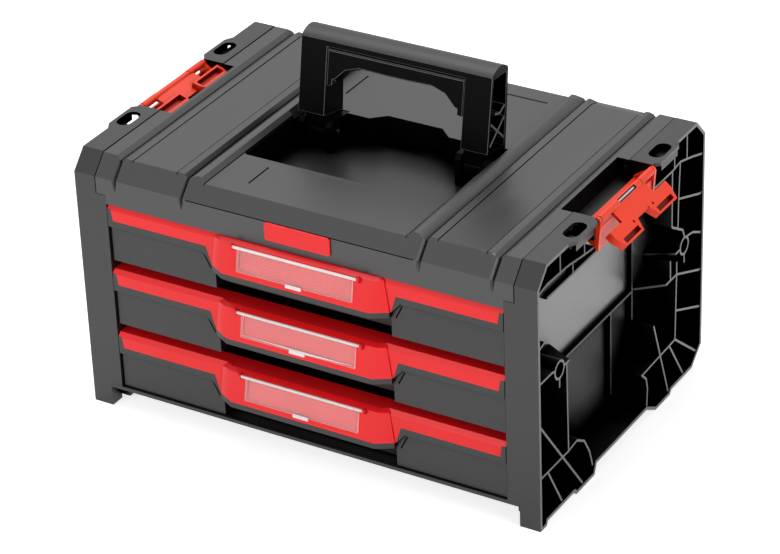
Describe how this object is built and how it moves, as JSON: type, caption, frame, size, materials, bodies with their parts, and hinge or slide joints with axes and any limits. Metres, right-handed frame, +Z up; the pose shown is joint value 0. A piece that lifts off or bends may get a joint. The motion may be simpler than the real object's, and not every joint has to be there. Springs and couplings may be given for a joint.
{
  "type": "stackable tool box with drawers",
  "caption": "Stackable tool box with pull-out drawers on telescopic slides, clear label flaps, a folding carry handle and side latches for stacking.",
  "frame": {"origin": "on the floor under the middle of the case", "axes": "+X across the front to the right, -Y towards the front of the drawers, +Z up"},
  "size_m": [0.4802, 0.3177, 0.3214],
  "materials": {
    "case_plastic": "fine-grained moulded, warm dark grey",
    "liner_plastic": "smooth moulded",
    "tray_plastic": "fine-grained moulded",
    "handle_plastic": "fine-grained moulded, near black",
    "red_plastic": "satin moulded",
    "latch_plastic": "satin moulded",
    "badge_plastic": "satin moulded, plain",
    "clear_plastic": "clear moulded, polished",
    "steel": "zinc plated",
    "slide_steel": "zinc plated sheet"
  },
  "bodies": {
    "root": {"back_panel": "case_plastic", "badge": "badge_plastic", "bottom_panel": "case_plastic", "frame_screws": "steel", "handle_pin_left": "steel", "handle_pin_right": "steel", "inner_wall_left": "liner_plastic", "inner_wall_right": "liner_plastic", "latch_base_left": "latch_plastic", "latch_base_right": "latch_plastic", "latch_pin_left": "steel", "latch_pin_right": "steel", "side_frame_left": "case_plastic", "side_frame_right": "case_plastic", "slide_outer_1_left": "slide_steel", "slide_outer_1_right": "slide_steel", "slide_outer_2_left": "slide_steel", "slide_outer_2_right": "slide_steel", "slide_outer_3_left": "slide_steel", "slide_outer_3_right": "slide_steel", "slide_screws": "steel", "top_cover": "case_plastic"},
    "handle": {"handle": "handle_plastic"},
    "latch_left": {"latch_left": "latch_plastic"},
    "latch_right": {"latch_right": "latch_plastic"},
    "drawer_1": {"drawer_tray_1": "tray_plastic", "drawer_front_1": "red_plastic", "slide_inner_1_left": "slide_steel", "slide_inner_1_right": "slide_steel", "tray_screws_1": "steel"},
    "slide_middle_1": {"slide_middle_1_left": "slide_steel", "slide_middle_1_right": "slide_steel"},
    "label_1": {"label_cover_1": "clear_plastic"},
    "drawer_2": {"drawer_tray_2": "tray_plastic", "drawer_front_2": "red_plastic", "slide_inner_2_left": "slide_steel", "slide_inner_2_right": "slide_steel", "tray_screws_2": "steel"},
    "slide_middle_2": {"slide_middle_2_left": "slide_steel", "slide_middle_2_right": "slide_steel"},
    "label_2": {"label_cover_2": "clear_plastic"},
    "drawer_3": {"drawer_tray_3": "tray_plastic", "drawer_front_3": "red_plastic", "slide_inner_3_left": "slide_steel", "slide_inner_3_right": "slide_steel", "tray_screws_3": "steel"},
    "slide_middle_3": {"slide_middle_3_left": "slide_steel", "slide_middle_3_right": "slide_steel"},
    "label_3": {"label_cover_3": "clear_plastic"}
  },
  "joints": [
    {"name": "handle_fold", "type": "hinge", "parent": "root", "child": "handle", "pos_m": [0, 0.014, 0.23], "axis": [1, 0, 0], "range_deg": [0, 98]},
    {"name": "latch_left_hinge", "type": "hinge", "parent": "root", "child": "latch_left", "pos_m": [-0.2253, 0, 0.244], "axis": [0, -1, 0], "range_deg": [0, 236]},
    {"name": "latch_right_hinge", "type": "hinge", "parent": "root", "child": "latch_right", "pos_m": [0.2253, 0, 0.244], "axis": [0, -1, 0], "range_deg": [0, 236]},
    {"name": "drawer_1_slide", "type": "slide", "parent": "root", "child": "drawer_1", "axis": [0, -1, 0], "range_m": [0, 0.25]},
    {"name": "slide_middle_1_slide", "type": "slide", "parent": "root", "child": "slide_middle_1", "axis": [0, -1, 0], "range_m": [0, 0.125]},
    {"name": "label_cover_1_hinge", "type": "hinge", "parent": "drawer_1", "child": "label_1", "pos_m": [0, -0.15996, 0.07469], "axis": [-1, 0, 0], "range_deg": [0, 90]},
    {"name": "drawer_2_slide", "type": "slide", "parent": "root", "child": "drawer_2", "axis": [0, -1, 0], "range_m": [0, 0.25]},
    {"name": "slide_middle_2_slide", "type": "slide", "parent": "root", "child": "slide_middle_2", "axis": [0, -1, 0], "range_m": [0, 0.125]},
    {"name": "label_cover_2_hinge", "type": "hinge", "parent": "drawer_2", "child": "label_2", "pos_m": [0, -0.15996, 0.13844], "axis": [-1, 0, 0], "range_deg": [0, 90]},
    {"name": "drawer_3_slide", "type": "slide", "parent": "root", "child": "drawer_3", "axis": [0, -1, 0], "range_m": [0, 0.25]},
    {"name": "slide_middle_3_slide", "type": "slide", "parent": "root", "child": "slide_middle_3", "axis": [0, -1, 0], "range_m": [0, 0.125]},
    {"name": "label_cover_3_hinge", "type": "hinge", "parent": "drawer_3", "child": "label_3", "pos_m": [0, -0.15996, 0.20219], "axis": [-1, 0, 0], "range_deg": [0, 90]}
  ],
  "couplings": [
    {"joint": "slide_middle_1_slide", "follows": "drawer_1_slide", "ratio": 0.5},
    {"joint": "slide_middle_2_slide", "follows": "drawer_2_slide", "ratio": 0.5},
    {"joint": "slide_middle_3_slide", "follows": "drawer_3_slide", "ratio": 0.5}
  ]
}
